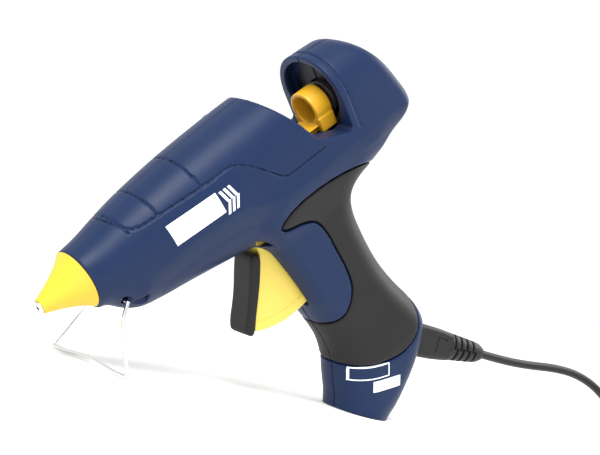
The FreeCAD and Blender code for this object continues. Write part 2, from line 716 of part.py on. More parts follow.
def trigger_pad():
    outline = [at(a, r) for a, r in TRIGGER_PAD_REAR]
    outline += [at(28.5, 48.2), at(30.5, 49.2), at(34.4, 46.6), at(34.0, 32.0), at(37.0, 21.5),
                at(42.0, 12.0)]
    bar = prism(outline, number("pad_half"))
    split = at(31.0, 30.0)[0]
    front_edges = [e for e in bar.Edges if e.Length > 8.0 and e.BoundBox.YLength < 0.1
                   and e.CenterOfMass.x < split]
    return bar.makeChamfer(1.2, front_edges[:4]).cut(trigger_body())


feature_part("trigger", trigger_body())
feature_part("trigger_pad", trigger_pad())
feature_part("trigger_pin", cylinder_y(pivot_x, pivot_z, number("pin_r"), -15.4, 15.4))
spring = cylinder_y(pivot_x, pivot_z, 5.4, number("trigger_half") + 0.8, 10.0)
feature_part("trigger_spring", spring.cut(cylinder_y(pivot_x, pivot_z, 4.0, 0.0, 12.0)))

# ---------------------------------------------------------------- rear guide
guide = cylinder_x(guide_r, guide_front, 60.0).cut(cylinder_x(bore_r, guide_front - 1, 61.0))
feature_part("stick_guide", guide.common(outer))


# ---------------------------------------------------------------- wires, cords and leads
def round_path(points, radii):
    """Straight runs joined by tangent arcs of the given radii, as one wire."""
    spots = [Vector(*p) for p in points]
    edges = []
    start = spots[0]
    for i in range(1, len(spots) - 1):
        before = (spots[i - 1] - spots[i]).normalize()
        after = (spots[i + 1] - spots[i]).normalize()
        turn = math.pi - before.getAngle(after)
        reach = radii[i - 1] * math.tan(turn / 2)
        first, last = spots[i] + before * reach, spots[i] + after * reach
        halfway = (before + after).normalize()
        middle = spots[i] + halfway * (radii[i - 1] * (1 / math.cos(turn / 2) - 1))
        edges.append(Part.LineSegment(start, first).toShape())
        edges.append(Part.Arc(first, middle, last).toShape())
        start = last
    edges.append(Part.LineSegment(start, spots[-1]).toShape())
    return Part.Wire(edges)


def tube(points, radii, radius):
    path = round_path(points, radii)
    way = (Vector(*points[1]) - Vector(*points[0])).normalize()
    circle = Part.Wire([Part.Circle(Vector(*points[0]), way, radius).toShape()])
    return path.makePipeShell([circle], True, False), path


def cord_radii(points):
    """The largest arcs the runs allow: 0.45 of the shorter run over the tangent of half a turn."""
    spots = [Vector(*p) for p in points]
    radii = []
    for i in range(1, len(spots) - 1):
        before, after = spots[i - 1] - spots[i], spots[i + 1] - spots[i]
        turn = math.pi - before.getAngle(after)
        radii.append(0.45 * min(before.Length, after.Length) / math.tan(turn / 2))
    return radii


def stand_wire():
    """The bail: two ends turned into the housing, splayed legs and a foot bar arched up."""
    gap, px, pz = number("foot_half_gap"), number("wire_pivot_x"), number("wire_pivot_z")
    fx, fz = number("foot_x"), number("foot_z")
    leg = [(px, 4.8, pz), (px, 12.9, pz), (px - 7.0, 14.6, pz - 4.6), (fx, gap, fz)]
    arch = [(fx, 17.0, fz), (fx + 1.1, 7.0, fz + 1.1)]
    far = leg + arch
    near = [(x, -y, z) for x, y, z in reversed(far)]
    points = far + near
    radii = [2.0, 3.0, 4.0, 4.5, 30.0, 30.0, 4.5, 4.0, 3.0, 2.0]
    return tube(points, radii, number("wire_r"))[0]


feature_part("stand_wire", stand_wire())

# Two insulated leads from the power inlet up the handle and along the barrel to the heater.
socket_rear = in_gun_axes(Part.Vertex(inlet_face_x - number("socket_len"), 0, inlet_z)).Point
for name, y in (("live_lead", -2.6), ("neutral_lead", 2.6)):
    route = [(socket_rear.x, y, socket_rear.z), (socket_rear.x - 6.0, y, socket_rear.z + 6.2),
             (-22.0, y * 1.2, -100.0), (-12.0, y * 1.4, -86.0), (-11.0, y * 1.5, -58.0),
             (-17.0, y * 2.0, -37.0), (-34.0, y * 2.2, -19.0), (-60.0, y * 1.8, -17.0),
             (-76.0, y, -15.6), (float(block_front + heater_len), y, -15.6)]
    feature_part(name, tube(route, cord_radii(route), 0.9)[0])

# ---------------------------------------------------------------- screws
screws = []
for x, z in SCREWS:
    skin_y = outer.common(Part.makeLine(Vector(x, 0, z), Vector(x, 60, z))).BoundBox.YMax
    head_top = min(skin_y - 1.0, 13.0)
    shank = cylinder_y(x, z, number("screw_r"), -8.5, 10.0 + 0.5)
    head = cylinder_y(x, z, number("screw_head_r"), 10.0, head_top)
    cross = block((x - 0.4, x + 0.4), (head_top - 1.2, head_top + 1), (z - 1.8, z + 1.8))
    cross = cross.fuse(block((x - 1.8, x + 1.8), (head_top - 1.2, head_top + 1),
                             (z - 0.4, z + 0.4)))
    screws.append(shank.fuse(head).cut(cross))
feature_part("housing_screws", Part.makeCompound(screws))

# ---------------------------------------------------------------- power inlet and lead
contact_gap, contact_r = number("contact_gap"), number("contact_r")
pin_front = inlet_face_x - number("socket_len") / 2


def contact_bars(radius, low, high):
    bars = [Part.makeCylinder(radius, high - low, Vector(low, 0, inlet_z + side * contact_gap / 2),
                              Vector(1, 0, 0)) for side in (-1, 1)]
    return bars[0].fuse(bars[1])


socket = round_bar((inlet_face_x - number("socket_len") + 0.05, inlet_face_x - 0.05),
                   number("socket_high") - 0.1, number("socket_wide") - 0.1, 1.9)
socket = socket.cut(contact_bars(contact_r, pin_front, inlet_face_x + 5))
standing_parts = [("inlet_socket", socket),
                  ("contact_pins", contact_bars(contact_r, pin_front, inlet_face_x + 6.5))]
plug_in = inlet_face_x + slide
taper_x = inlet_skin_x + number("connector_len") - 8.0
connector_end = inlet_skin_x + number("connector_len")
relief_end = connector_end + number("relief_len")
connector = prism([
    (plug_in, inlet_z - connector_high / 2), (taper_x, inlet_z - connector_high / 2 + 0.9),
    (connector_end, inlet_z - 6.6), (connector_end, inlet_z + 6.6),
    (taper_x, inlet_z + connector_high / 2 - 0.9), (plug_in, inlet_z + connector_high / 2)],
    connector_wide / 2)
level = [e for e in connector.Edges if e.BoundBox.YLength < 0.1 and e.Length > 12.0]
connector = connector.makeFillet(2.6, [e for e in level if e.BoundBox.XLength > 12.0])
connector = connector.cut(contact_bars(contact_r + 0.15, plug_in - 1, inlet_face_x + 7.5))
standing_parts.append(("connector", connector))
cord_r = number("cord_r")
relief = Part.makeCone(4.8, cord_r + 1.3, number("relief_len"),
                       Vector(connector_end, 0, inlet_z), Vector(1, 0, 0))
standing_parts.append(("strain_relief", relief))

# The lead leaves level, stiff enough to stay so for a while, then droops to the table and runs into
# a tied coil lying there.
rest_z = cord_r + 0.05
coil_x, coil_y = relief_end + 176.0, -30.0
coil_mean, coil_half = 25.0, 1.5 * 2 * cord_r
coil_high = 2 * cord_r + 2 * 3.85
coil_side = coil_y + coil_mean + 2 * cord_r
CORD = [
    (relief_end, 0.0, inlet_z), (relief_end + 20.0, 0.0, inlet_z - 0.8),
    (relief_end + 40.0, 0.0, inlet_z - 0.2), (relief_end + 60.0, 0.0, inlet_z + 1.4),
    (relief_end + 78.0, -0.2, inlet_z + 1.0), (relief_end + 95.0, -0.5, inlet_z - 2.8),
    (relief_end + 110.0, -0.9, inlet_z - 9.6), (relief_end + 124.0, -1.3, inlet_z - 18.6),
    (relief_end + 138.0, -1.6, inlet_z - 27.8), (relief_end + 152.0, -1.5, rest_z + 2.6),
    (relief_end + 168.0, coil_side - 0.5, rest_z), (coil_x + 4.0, coil_side + 0.2, rest_z)]
radii = cord_radii(CORD)
run, path = tube(CORD, radii, cord_r)
print("cord arc radii:", [round(r, 1) for r in radii])
print("cord volume over section times length:",
      round(run.Volume / (math.pi * cord_r ** 2 * path.Length), 4), "length", path.Length)
standing_parts.append(("mains_cord", run))
coil = Part.makeCylinder(coil_mean + coil_half, coil_high, Vector(coil_x, coil_y, 0))
coil = coil.cut(Part.makeCylinder(coil_mean - coil_half, coil_high, Vector(coil_x, coil_y, 0)))
standing_parts.append(("cord_coil", coil))
tie_x = coil_x + coil_mean
tie = block((tie_x - coil_half - 1.4, tie_x + coil_half + 1.4), (coil_y - 5, coil_y + 5),
            (0.0, coil_high + 1.4))
tie = tie.cut(block((tie_x - coil_half - 0.8, tie_x + coil_half), (coil_y - 6, coil_y + 6),
                    (-1.0, coil_high)))
standing_parts.append(("cord_tie", tie))
tail_y = coil_y - coil_mean
plug_z = 7.0
TAIL = [(coil_x + 6.0, tail_y, rest_z), (coil_x - 10.0, tail_y - 0.8, rest_z + 0.4),
        (coil_x - 26.0, tail_y - 1.0, rest_z + 2.6), (coil_x - 40.0, tail_y - 1.0, plug_z)]
standing_parts.append(("cord_tail", tube(TAIL, cord_radii(TAIL), cord_r)[0]))
plug_rear = coil_x - 40.0
plug = block((plug_rear - 30.0, plug_rear), (tail_y - 9.0, tail_y + 7.0), (0.0, 2 * plug_z))
plug = plug.makeFillet(2.5, plug.Edges)
standing_parts.append(("mains_plug", plug))
pins = [Part.makeCylinder(2.0, 21.0, Vector(plug_rear - 49.0, tail_y - 1.0 + side, plug_z),
                          Vector(1, 0, 0)) for side in (-4.6, 4.6)]
standing_parts[-1] = ("mains_plug", plug.cut(pins[0]).cut(pins[1]))
standing_parts.append(("plug_pins", Part.makeCompound(pins)))

gun_parts = list(parts)
for label, shape in standing_parts:
    feature_part(label, shape)
for part in gun_parts:
    part.Placement = stand_placement
doc.recompute()

# ---------------------------------------------------------------- checks and files
for item in doc.Objects:
    if "Invalid" in item.State or "Error" in item.State:
        raise RuntimeError(item.Name + " failed: " + str(item.State))
os.makedirs("parts", exist_ok=True)
for part in parts:
    shape = part.Shape
    if shape.isNull() or not shape.isValid():
        raise RuntimeError(part.Label + " has no valid shape")
    print("%-18s solids %d volume %9.1f" % (part.Label, len(shape.Solids), shape.Volume))
    shape.exportStep("parts/%s.step" % part.Label)
for label, spot in (
        ("trigger pivot", Vector(pivot_x, 0, pivot_z)), ("jaw pivot", Vector(jaw_x, 0, jaw_z)),
        ("wire pivot", Vector(number("wire_pivot_x"), 0, number("wire_pivot_z"))),
        ("collar middle", Vector(0, 0, 0)), ("guide rear", Vector(42.0, 0, 0)),
        ("nozzle tip", Vector(number("tip_x"), 0, 0))):
    print(label, [round(v, 3) for v in stand_placement.multVec(spot)])
print("inlet face", round(inlet_face_x, 2), "skin", round(inlet_skin_x, 2))
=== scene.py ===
# %% [markdown]
# # A corded glue gun for 12 mm sticks
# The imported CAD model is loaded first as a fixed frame: it says where every piece is and which body each
# one moves with. The looks are then built round it, piece by piece, in the same metres and axes.

# %% Load the frame
import json
import math
import bpy
import numpy as np
import openvdb
from mathutils import Matrix, Vector


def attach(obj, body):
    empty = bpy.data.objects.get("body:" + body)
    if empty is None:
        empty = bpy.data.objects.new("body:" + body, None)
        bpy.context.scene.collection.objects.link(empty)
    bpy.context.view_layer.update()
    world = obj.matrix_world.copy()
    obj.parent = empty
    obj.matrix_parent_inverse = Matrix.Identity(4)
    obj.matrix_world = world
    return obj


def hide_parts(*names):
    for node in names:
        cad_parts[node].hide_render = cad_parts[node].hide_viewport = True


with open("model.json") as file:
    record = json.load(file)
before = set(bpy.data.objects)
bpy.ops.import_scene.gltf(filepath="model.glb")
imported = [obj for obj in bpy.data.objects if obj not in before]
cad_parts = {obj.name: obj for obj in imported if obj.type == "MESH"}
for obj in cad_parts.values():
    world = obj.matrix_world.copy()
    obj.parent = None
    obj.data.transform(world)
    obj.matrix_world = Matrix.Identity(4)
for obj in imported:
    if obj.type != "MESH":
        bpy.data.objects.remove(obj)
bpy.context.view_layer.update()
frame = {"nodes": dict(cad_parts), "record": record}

# %% [markdown]
# The gun was drawn lying level, with x along the barrel and z square to it, and was then stood up on its
# wire stand and the foot of its handle. Shapes here are easier to describe in those level axes too, so one
# helper turns and lifts finished points into the standing frame, from millimetres into metres.

# %% The gun's own axes
TILT = math.radians(45.86)
COLLAR = (4.315, 0.0, 128.997)
cosine, sine = math.cos(TILT), math.sin(TILT)


def stand_up(points):
    """Gun axes in millimetres to the frame in metres: a turn by the tilt about y, then the collar's place
    is added."""
    x, y, z = np.asarray(points, float).T
    turned = np.stack([cosine * x - sine * z, y, sine * x + cosine * z], 1)
    return (turned + COLLAR) / 1000


def upright(x, z):
    """The standing x and z, in millimetres, of a place in the gun's side view."""
    return cosine * x - sine * z + COLLAR[0], sine * x + cosine * z + COLLAR[2]


print("collar stands at", stand_up([(0, 0, 0)]).round(4))

# %% [markdown]
# The camera looks at the gun's left side from the front quarter, nearly level, rolled so that the barrel
# slopes down to the left. A long lens keeps the sides of the gun almost parallel.

# %% Camera
CAMERA_PLACE = (-0.4532, -0.5520, 0.0770)
LENS = 96.1
camera = bpy.data.objects.new("camera", bpy.data.cameras.new("camera"))
bpy.context.scene.collection.objects.link(camera)
bpy.context.scene.camera = camera
camera.data.sensor_width = 36.0
camera.data.lens = LENS
camera.data.clip_end = 20.0
right = Vector((0.732, -0.627, 0.265)).normalized()
back = Vector((-0.651, -0.760, -0.001)).normalized()
up = back.cross(right).normalized()
right = up.cross(back)
camera.matrix_world = Matrix((
    (right.x, up.x, back.x, CAMERA_PLACE[0]), (right.y, up.y, back.y, CAMERA_PLACE[1]),
    (right.z, up.z, back.z, CAMERA_PLACE[2]), (0, 0, 0, 1)))
print("camera at", tuple(round(v, 3) for v in camera.location), "lens", camera.data.lens)

# %% [markdown]
# The lead is one round flexible cord. It leaves its strain relief level, stays so for a while because it
# is stiff, droops to the table and runs into a tied coil of nine turns, then comes out of the coil to the
# plug. A smooth open spline follows those points. The turns of the coil are more points of the same
# spline, written by a loop: three turns side by side, three high.

# %% The lead
CORD_RADIUS = 0.0022
LEAVES = (0.15828, 0.0, 0.040)
COIL = (0.33428, -0.030)
route = [
    LEAVES, (0.17828, 0.0, 0.0392), (0.19828, 0.0, 0.0398), (0.21828, 0.0, 0.0414),
    (0.23628, -0.0002, 0.0410), (0.25328, -0.0005, 0.0372), (0.26828, -0.0009, 0.0304),
    (0.28228, -0.0013, 0.0214), (0.29628, -0.0016, 0.0122), (0.31028, -0.0015, 0.00485),
    (0.32628, -0.0011, 0.00225)]
TURN_POINTS = 16
lanes = [(0.0294, 0.0), (0.0250, 0.0), (0.0206, 0.0), (0.0206, 0.00385), (0.0250, 0.00385),
         (0.0294, 0.00385), (0.0294, 0.0077), (0.0250, 0.0077), (0.0206, 0.0077)]
for lane, (radius, height) in enumerate(lanes):
    after = lanes[min(lane + 1, len(lanes) - 1)]
    for step in range(TURN_POINTS):
        part = step / TURN_POINTS
        swap = max(0.0, (part - 0.75) * 4.0)
        r = radius + (after[0] - radius) * swap
        h = height + (after[1] - height) * swap
        angle = math.pi / 2 - 2 * math.pi * part
        route.append((COIL[0] + r * math.cos(angle), COIL[1] + r * math.sin(angle), 0.00225 + h))
route += [
    (0.33728, -0.0125, 0.0102), (0.35200, -0.0200, 0.0100), (0.35500, -0.0340, 0.0096),
    (0.34900, -0.0480, 0.0125), (0.33900, -0.0575, 0.0132), (0.32500, -0.0608, 0.0090),
    (0.31300, -0.0588, 0.0062), (0.30200, -0.0566, 0.0066), (0.29380, -0.0560, 0.0070)]
curve = bpy.data.curves.new("lead", "CURVE")
curve.dimensions = "3D"
curve.resolution_u = 6
spline = curve.splines.new("NURBS")
spline.points.add(len(route) - 1)
spline.points.foreach_set("co", np.hstack([np.array(route), np.ones((len(route), 1))]).ravel())
spline.order_u = 3
spline.use_endpoint_u = True
spline.points.foreach_set("radius", np.full(len(route), CORD_RADIUS))
curve.bevel_depth = 1.0
curve.bevel_resolution = 5
curve.use_fill_caps = True
lead = bpy.data.objects.new("lead", curve)
bpy.context.scene.collection.objects.link(lead)
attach(lead, "cordset")
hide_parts("mains_cord", "cord_coil", "cord_tail")
line = np.array(route)
print("lead: %d points, %.2f m along its points" % (
    len(route), np.linalg.norm(np.diff(line, axis=0), axis=1).sum()))

# %% [markdown]
# Materials are written as sums. A Signal wraps one output of a node; adding or multiplying Signals adds the
# Math nodes. A Finish holds one material and makes every other node through one method. The same few
# ingredients then make each plastic: a fine moulded grain, a slower unevenness in the gloss, and a little
# change of shade.

# %% Shader sums
class Signal:
    def __init__(self, finish, socket):
        self.finish, self.socket = finish, socket

    def sum(self, operation, first, second=0.0):
        return self.finish.node("ShaderNodeMath", {"operation": operation}, {0: first, 1: second})

    def __add__(self, other):
        return self.sum("ADD", self, other)

    def __radd__(self, other):
        return self.sum("ADD", other, self)

    def __sub__(self, other):
        return self.sum("SUBTRACT", self, other)

    def __rsub__(self, other):
        return self.sum("SUBTRACT", other, self)

    def __mul__(self, other):
        return self.sum("MULTIPLY", self, other)

    def __rmul__(self, other):
        return self.sum("MULTIPLY", other, self)

    def below(self, other):
        return self.sum("LESS_THAN", self, other)

    def above(self, other):
        return self.sum("GREATER_THAN", self, other)

    def size(self):
        return self.sum("ABSOLUTE", self)


class Finish:
    def __init__(self, name):
        self.name = name
        self.material = bpy.data.materials.new(name + "_finish")
        self.material.use_nodes = True
        self.tree = self.material.node_tree
        self.tree.nodes.clear()
        self.shader = self.tree.nodes.new("ShaderNodeBsdfPrincipled")
        output = self.tree.nodes.new("ShaderNodeOutputMaterial")
        self.tree.links.new(self.shader.outputs[0], output.inputs[0])
        place = self.tree.nodes.new("ShaderNodeTexCoord")
        self.place = Signal(self, place.outputs["Object"])

    def node(self, kind, settings=None, inputs=None, out=0):
        made = self.tree.nodes.new(kind)
        for name, value in (settings or {}).items():
            setattr(made, name, value)
        for name, value in (inputs or {}).items():
            self.put(made.inputs[name], value)
        return Signal(self, made.outputs[out])

    def put(self, socket, value):
        if isinstance(value, Signal):
            self.tree.links.new(value.socket, socket)
        else:
            socket.default_value = value

    def set(self, **sockets):
        for name, value in sockets.items():
            self.put(self.shader.inputs[name.replace("_", " ")], value)

    def noise(self, scale, detail=2.0, roughness=0.5):
        return self.node("ShaderNodeTexNoise", {}, {
            "Vector": self.place, "Scale": scale, "Detail": detail, "Roughness": roughness})

    def mix(self, factor, first, second):
        made = self.node("ShaderNodeMix", {"data_type": "RGBA"}, {0: factor}, out=2)
        inputs = made.socket.node.inputs
        self.put(inputs[6], first)
        self.put(inputs[7], second)
        return made

    def bump(self, height, strength, distance):
        self.set(Normal=self.node("ShaderNodeBump", {}, {
            "Height": height, "Strength": strength, "Distance": distance}))

    def gun_axes(self):
        """The x, y and z of the surface in the gun's own axes, in millimetres."""
        split = self.tree.nodes.new("ShaderNodeSeparateXYZ")
        self.tree.links.new(self.place.socket, split.inputs[0])
        x, y, z = (Signal(self, socket) * 1000.0 for socket in split.outputs)
        x, z = x - COLLAR[0], z - COLLAR[2]
        return x * cosine + z * sine, y, z * cosine - x * sine


def moulded(name, colour, roughness, grain=2600.0, depth=0.00005, change=0.12, specular=0.5):
    """Moulded plastic: the grain is a fine noise in the bump, the gloss and the shade drift slowly."""
    finish = Finish(name)
    fine = finish.noise(grain, 3.0, 0.6)
    slow = finish.noise(38.0, 3.0)
    dark = [c * (1 - change) for c in colour] + [1.0]
    light = [min(1.0, c * (1 + change)) for c in colour] + [1.0]
    finish.base = finish.mix(slow, dark, light)
    finish.set(Base_Color=finish.base, Roughness=slow * 0.12 + fine * 0.08 + (roughness - 0.10))
    finish.set(Specular_IOR_Level=specular)
    finish.bump(fine, 0.5, depth)
    return finish


def metal(name, colour, roughness, grain=900.0):
    """Drawn or turned metal: fine streaky noise in the gloss and a faint bump."""
    finish = Finish(name)
    fine = finish.noise(grain, 4.0, 0.65)
    finish.set(Base_Color=finish.mix(fine, [c * 0.85 for c in colour] + [1.0], colour + [1.0]))
    finish.set(Metallic=1.0, Roughness=fine * 0.18 + (roughness - 0.09))
    finish.bump(fine, 0.25, 0.00003)
    return finish


print("shader helpers ready")

# %% [markdown]
# The shell is blue plastic with a fine spark-eroded grain. On its left flank it carries a plain white
# printed panel with three bars beside it, and a small outlined panel near the foot. They are printed, not
# moulded, so they are painted by the material: each is a slanted box in the gun's own axes, seen only on
# the side it is printed on. The hollow in the face of the head has painted shade: its colour is mixed to a
# darker blue that stands in for the little light that gets into it. The painted shade covers every place
# near the stick's way and just behind the saddle.

# %% Blue shell with its printed panels
def slanted_box(x, z, centre, half, lean, turn=0.0):
    """1 inside a slanted rectangle about centre, 0 outside it."""
    c, s = math.cos(turn), math.sin(turn)
    u, v = x - centre[0], z - centre[1]
    along, across = u * c + v * s, v * c - u * s
    along = along - across * lean
    return along.size().below(half[0]) * across.size().below(half[1])


blue = moulded("housing_blue", [0.0075, 0.0190, 0.0600], 0.40, 2300.0, 0.00007, 0.08, 0.16)
gun_x, gun_y, gun_z = blue.gun_axes()
left_side = gun_y.below(-6.0)
print_mask = slanted_box(gun_x, gun_z, (-83.0, 0.2), (13.2, 5.1), -0.10)
for number in range(3):
    upper = slanted_box(gun_x, gun_z, (-67.3 + 2.4 * number, 1.6), (0.7, 2.9), -0.35)
    lower = slanted_box(gun_x, gun_z, (-66.9 + 2.4 * number, -4.0), (0.7, 2.8), 0.45)
    print_mask = print_mask + upper + lower
frame_turn = math.radians(-24.0)
foot_frame = slanted_box(gun_x, gun_z, (-30.1, -123.6), (9.4, 3.3), 0.0, frame_turn)
foot_inside = slanted_box(gun_x, gun_z, (-30.1, -123.6), (8.8, 2.7), 0.0, frame_turn)
foot_plate = slanted_box(gun_x, gun_z, (-25.6, -133.4), (8.2, 2.7), 0.0, frame_turn)
print_mask = print_mask + foot_frame * (1 - foot_inside) + foot_plate
print_mask = blue.node("ShaderNodeClamp", {}, {0: print_mask}) * left_side
# Painted shade: inside the head's hollow, near the stick's way and just behind the saddle, the blue is mixed
# darker in place of the shade there.
SHADE_MIDDLE, SHADE_REACH_SQUARED = 1.5, 270.0
from_stick = gun_y * gun_y + (gun_z - SHADE_MIDDLE) * (gun_z - SHADE_MIDDLE)
recess = from_stick.below(SHADE_REACH_SQUARED) * gun_x.above(6.0) * gun_x.below(24.0)
inside = blue.mix(recess, blue.base, [0.0020, 0.0032, 0.0085, 1.0])
blue.set(Base_Color=blue.mix(print_mask, inside, [0.80, 0.83, 0.86, 1.0]))
print("blue shell with", len(blue.tree.nodes), "nodes")

# %% [markdown]
# Every other plastic and metal is one line. Each CAD node takes the finish that its record names, so that
# a piece that no formula replaces still has its own material.

# %% The other finishes
grip_grey = moulded("grip_grey", [0.0120, 0.0110, 0.0112], 0.50, 1500.0, 0.00009, 0.15, 0.20)
nozzle_yellow = moulded("nozzle_yellow", [0.640, 0.425, 0.018], 0.42, 1200.0, 0.00003, 0.05)
trigger_yellow = moulded("trigger_yellow", [0.690, 0.530, 0.085], 0.38, 1800.0, 0.00002, 0.04)
sled_yellow = moulded("sled_yellow", [0.620, 0.330, 0.014], 0.36, 1600.0, 0.00003, 0.10)
cord_grey = moulded("cord_grey", [0.0130, 0.0120, 0.0125], 0.45, 1700.0, 0.00006, 0.15, 0.20)
black_plastic = moulded("black_plastic", [0.020, 0.020, 0.021], 0.40, 2100.0, 0.00005)
ceramic = moulded("ceramic", [0.80, 0.79, 0.75], 0.55, 1500.0)
silicone = moulded("silicone", [0.55, 0.14, 0.07], 0.50, 1100.0)
lead_brown = moulded("lead_brown", [0.16, 0.06, 0.025], 0.42)
lead_blue = moulded("lead_blue", [0.03, 0.12, 0.42], 0.42)
steel = metal("steel", [0.55, 0.55, 0.56], 0.34)
bright_steel = metal("bright_steel", [0.78, 0.78, 0.77], 0.17)
brass = metal("brass", [0.78, 0.60, 0.30], 0.28)
aluminium = metal("aluminium", [0.66, 0.67, 0.68], 0.42, 500.0)
nozzle_metal = metal("nozzle_metal", [0.72, 0.71, 0.70], 0.24)
FINISHES = {f.name: f for f in (
    blue, grip_grey, nozzle_yellow, trigger_yellow, sled_yellow, cord_grey, black_plastic, ceramic,
    silicone, lead_brown, lead_blue, steel, bright_steel, brass, aluminium)}
for part in frame["record"]["subparts"]:
    owner = frame["nodes"][part["node"]]
    owner.data.materials.clear()
    owner.data.materials.append(FINISHES[part["material_slot"]].material)
frame["nodes"]["nozzle"].data.materials[0] = nozzle_metal.material
lead.data.materials.append(cord_grey.material)
print(len(FINISHES), "finishes on", len(frame["nodes"]), "CAD nodes")

# %% [markdown]
# Moulded shells flow from the barrel into the handle, which no single profile gives. So the shell is
# written as a field instead: a number at each point of a fine grid that is about the distance to the
# surface, negative inside. Joining, cutting and hollowing are then one line of numpy each, and openvdb
# turns the surface where the field is zero into a mesh.

# %% Field helpers
def smooth_outline(points, rounds=2):
    """A closed outline whose corners are cut, again and again, a quarter of the way along each side."""
    line = np.array(points, float)
    for _ in range(rounds):
        after = np.roll(line, -1, 0)
        line = np.stack([0.75 * line + 0.25 * after, 0.25 * line + 0.75 * after], 1).reshape(-1, 2)
    return line


def side_distance(x, z, start, end):
    """Distance to a straight side: its nearest point is a share of the way along, from 0 to 1."""
    (ax, az), (bx, bz) = start, end
    dx, dz = bx - ax, bz - az
    share = np.clip(((x - ax) * dx + (z - az) * dz) / (dx * dx + dz * dz + 1e-12), 0, 1)
    return np.hypot(x - ax - share * dx, z - az - share * dz)


def carve(field, tool):
    """A field with a tool cut out of it."""
    return np.maximum(field, -tool)


def outline_field(x, z, outline):
    """Signed distance to a closed outline: that to its nearest side, negative where a ray from the point
    crosses the outline an odd number of times."""
    nearest = np.full(np.broadcast(x, z).shape, 1e9)
    inside = np.zeros(nearest.shape, bool)
    for (ax, az), (bx, bz) in zip(outline, np.roll(outline, -1, 0)):
        nearest = np.minimum(nearest, side_distance(x, z, (ax, az), (bx, bz)))
        dx, dz = bx - ax, bz - az
        if dz:
            inside ^= ((az > z) != (bz > z)) & (x < dx * (z - az) / dz + ax)
    return np.where(inside, -nearest, nearest)


def line_field(x, z, points):
    """Distance to an open line of points."""
    nearest = np.full(np.broadcast(x, z).shape, 1e9)
    for start, end in zip(points[:-1], points[1:]):
        nearest = np.minimum(nearest, side_distance(x, z, start, end))
    return nearest


def soft_union(a, b, k):
    """The smaller of two fields, with the corner between them filled over a width k."""
    h = np.clip(0.5 + 0.5 * (b - a) / k, 0, 1)
    return b * (1 - h) + a * h - k * h * (1 - h)


def box_field(x, y, z, low, high, round_=0.0):
    """Distance to a box with rounded edges."""
    centre, half = (np.array(low) + high) / 2, (np.array(high) - low) / 2 - round_
    qx, qy, qz = abs(x - centre[0]) - half[0], abs(y - centre[1]) - half[1], abs(z - centre[2]) - half[2]
    out = np.sqrt(np.maximum(qx, 0) ** 2 + np.maximum(qy, 0) ** 2 + np.maximum(qz, 0) ** 2)
    return out + np.minimum(np.maximum(qx, np.maximum(qy, qz)), 0) - round_


def skin(name, field, low, step, standing, finish, body, replaced=()):
    """The surface where a field is zero, as an object in the frame. Each quad joins four crossings; the
    signed volume says whether the faces point outwards, and they are turned if it is negative."""
    grid = openvdb.FloatGrid(3.0 * step)
    grid.copyFromArray(np.clip(field, -3.0 * step, 3.0 * step).astype(np.float32))
    points, triangles, quads = grid.convertToPolygons(isovalue=0.0, adaptivity=0.0)
    corners = points * step + np.array(low)
    corners = corners / 1000 if standing else stand_up(corners)
    faces = [tuple(f) for f in quads.tolist()] + [tuple(f) for f in triangles.tolist()]
    a, b, c = corners[quads[:, 0]], corners[quads[:, 1]], corners[quads[:, 2]]
    if np.einsum("ij,ij->i", a, np.cross(b, c)).sum() < 0:
        faces = [f[::-1] for f in faces]
    mesh = bpy.data.meshes.new(name)
    mesh.from_pydata(corners.tolist(), [], faces)
    mesh.update()
    return settle(name, mesh, finish, body, replaced)


def settle(name, mesh, finish, body, replaced=()):
    """Smooth-shades a mesh, gives it its finish and hangs it on its body."""
    mesh.polygons.foreach_set("use_smooth", np.ones(len(mesh.polygons), bool))
    mesh.materials.append(finish.material)
    piece = bpy.data.objects.new(name, mesh)
    bpy.context.scene.collection.objects.link(piece)
    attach(piece, body)
    if replaced:
        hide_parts(*replaced)
    print("%-16s %6d faces on %s" % (name, len(mesh.polygons), body))
    return piece


def axes_of(low, high, step):
    """Three open arrays that step through a box, ready to broadcast against each other."""
    return np.ix_(*[np.arange(a, b + step, step) for a, b in zip(low, high)])


# %% [markdown]
# The shell's form needs a side view and a width. In the side view two outlines give the barrel with its
# head, and the handle. At each point of the side view, how deep it lies inside the outline gives how far
# the flank stands out, as a quarter of a superellipse: full width well inside, rounding to nothing at the
# edge. The two forms are joined softly, hollowed to a 3 mm wall, and cut.

# %% The shell's form
BARREL = smooth_outline([
    (-155, 12.0), (-140, 12.6), (-133.5, 13.0), (-124, 13.9), (-112, 16.6), (-97.6, 19.2), (-74.7, 21.9),
    (-50, 23.5), (-30, 24.3), (-10, 24.3), (10, 23.6), (22, 23.2), (34, 22.4), (70, 21.0), (70, -37.0),
    (40, -37.0), (14, -37.6), (0, -38.6), (-20, -41), (-40, -40.2), (-52, -37.8), (-63.2, -34.9),
    (-80, -32.3), (-92.6, -30.3), (-106, -28.6), (-113, -27.2), (-118.5, -25.2), (-123, -22.2),
    (-127.0, -17.8), (-131, -14.9), (-136, -13.8), (-155, -13.0)])
REAR = smooth_outline([
    (-200, 60), (14, 60), (22.6, 28.5), (26.6, 22.8), (30.4, 18.2), (34.2, 11.6), (37.9, 3.0), (41.4, -6.8),
    (43.5, -13.6), (43.4, -19.0), (41.6, -22.8), (38.6, -25.5), (34, -27.8), (26, -30.4), (15, -34.8),
    (8, -60), (-200, -60)], 2)
HANDLE = smooth_outline([
    (31, -16), (26, -31.5), (13.5, -35.2), (5.6, -38.2), (0.6, -42.4), (-1.4, -49.5), (-1.3, -58),
    (-0.5, -69), (1.6, -83), (6, -97.3), (11.2, -109.5), (13.2, -117), (13.0, -123.5), (10.4, -129.1),
    (3.6, -137.1), (-5.0, -144.6), (-20.2, -153.9), (-29.3, -156.5), (-40, -166), (-57, -150),
    (-45.9, -136), (-41.2, -122.0), (-38.4, -116), (-37.2, -106), (-38.6, -96.7), (-41.2, -84),
    (-43.4, -69), (-45.9, -58), (-48.9, -46), (-52, -36), (-54, -22), (-30, -8), (10, -8)])
